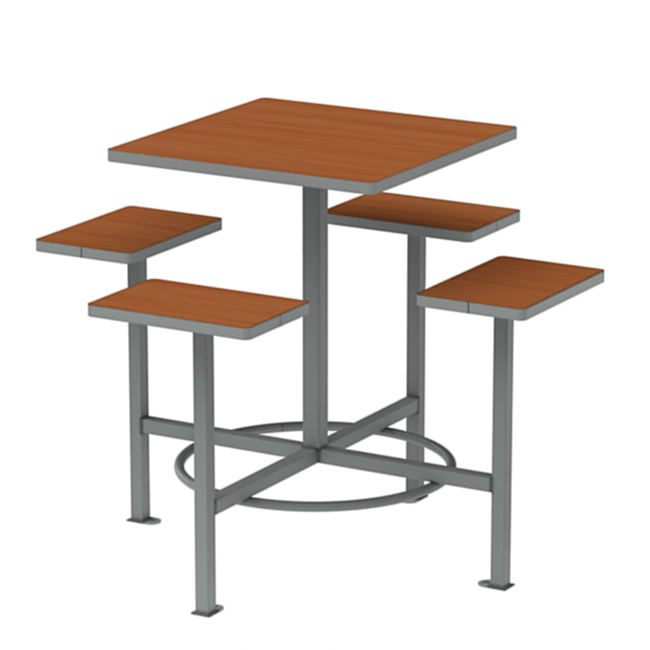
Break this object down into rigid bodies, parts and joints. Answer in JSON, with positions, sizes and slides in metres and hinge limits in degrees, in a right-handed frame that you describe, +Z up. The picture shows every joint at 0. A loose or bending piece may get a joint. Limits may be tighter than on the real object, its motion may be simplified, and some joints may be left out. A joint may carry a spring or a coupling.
{
  "type": "table with attached swivel seats",
  "caption": "Bar-height square laminate table on a steel column and cross, with rectangular seats that swivel on square posts and a round foot ring.",
  "frame": {"origin": "on the floor, under the axis of the column, at the middle of the four posts", "axes": "+Z up; +X to the right seat and -Y to the front seat"},
  "size_m": [1.4162, 1.4162, 1.096],
  "materials": {
    "frame_paint": "grey powder coat, satin",
    "laminate": "warm wood-figure laminate, satin",
    "board": "bare particle board",
    "backer": "plain balancing sheet",
    "edge_band": "grey vinyl, satin",
    "zinc_steel": "zinc plated",
    "spring_steel": "oiled spring wire",
    "nylon": "natural nylon"
  },
  "bodies": {
    "frame": {"column": "frame_paint", "table_spider": "frame_paint", "cross_rail_long": "frame_paint", "cross_rail_right": "frame_paint", "cross_rail_left": "frame_paint", "foot_ring": "frame_paint", "table_core": "board", "table_laminate": "laminate", "table_backer": "backer", "table_edge_band": "edge_band", "table_screws": "zinc_steel", "front_foot_plate": "frame_paint", "front_post": "frame_paint", "front_swivel_housing": "frame_paint", "front_bushings": "nylon", "front_return_spring": "spring_steel", "right_foot_plate": "frame_paint", "right_post": "frame_paint", "right_swivel_housing": "frame_paint", "right_bushings": "nylon", "right_return_spring": "spring_steel", "back_foot_plate": "frame_paint", "back_post": "frame_paint", "back_swivel_housing": "frame_paint", "back_bushings": "nylon", "back_return_spring": "spring_steel", "left_foot_plate": "frame_paint", "left_post": "frame_paint", "left_swivel_housing": "frame_paint", "left_bushings": "nylon", "left_return_spring": "spring_steel"},
    "seat_front": {"front_swivel_plate": "frame_paint", "front_stop_pin": "zinc_steel", "front_seat_core": "board", "front_seat_laminate": "laminate", "front_seat_backer": "backer", "front_seat_edge_band": "edge_band", "front_seat_screws": "zinc_steel"},
    "seat_right": {"right_swivel_plate": "frame_paint", "right_stop_pin": "zinc_steel", "right_seat_core": "board", "right_seat_laminate": "laminate", "right_seat_backer": "backer", "right_seat_edge_band": "edge_band", "right_seat_screws": "zinc_steel"},
    "seat_back": {"back_swivel_plate": "frame_paint", "back_stop_pin": "zinc_steel", "back_seat_core": "board", "back_seat_laminate": "laminate", "back_seat_backer": "backer", "back_seat_edge_band": "edge_band", "back_seat_screws": "zinc_steel"},
    "seat_left": {"left_swivel_plate": "frame_paint", "left_stop_pin": "zinc_steel", "left_seat_core": "board", "left_seat_laminate": "laminate", "left_seat_backer": "backer", "left_seat_edge_band": "edge_band", "left_seat_screws": "zinc_steel"}
  },
  "joints": [
    {"name": "front_seat_swivel", "type": "hinge", "parent": "frame", "child": "seat_front", "pos_m": [0, -0.5386, 0.76], "axis": [0, 0, 1], "range_deg": [-90, 90], "stiffness_Nm_per_rad": 2, "deforming": ["front_return_spring"]},
    {"name": "right_seat_swivel", "type": "hinge", "parent": "frame", "child": "seat_right", "pos_m": [0.5386, 0, 0.76], "axis": [0, 0, 1], "range_deg": [-90, 90], "stiffness_Nm_per_rad": 2, "deforming": ["right_return_spring"]},
    {"name": "back_seat_swivel", "type": "hinge", "parent": "frame", "child": "seat_back", "pos_m": [0, 0.5386, 0.76], "axis": [0, 0, 1], "range_deg": [-90, 90], "stiffness_Nm_per_rad": 2, "deforming": ["back_return_spring"]},
    {"name": "left_seat_swivel", "type": "hinge", "parent": "frame", "child": "seat_left", "pos_m": [-0.5386, 0, 0.76], "axis": [0, 0, 1], "range_deg": [-90, 90], "stiffness_Nm_per_rad": 2, "deforming": ["left_return_spring"]}
  ]
}
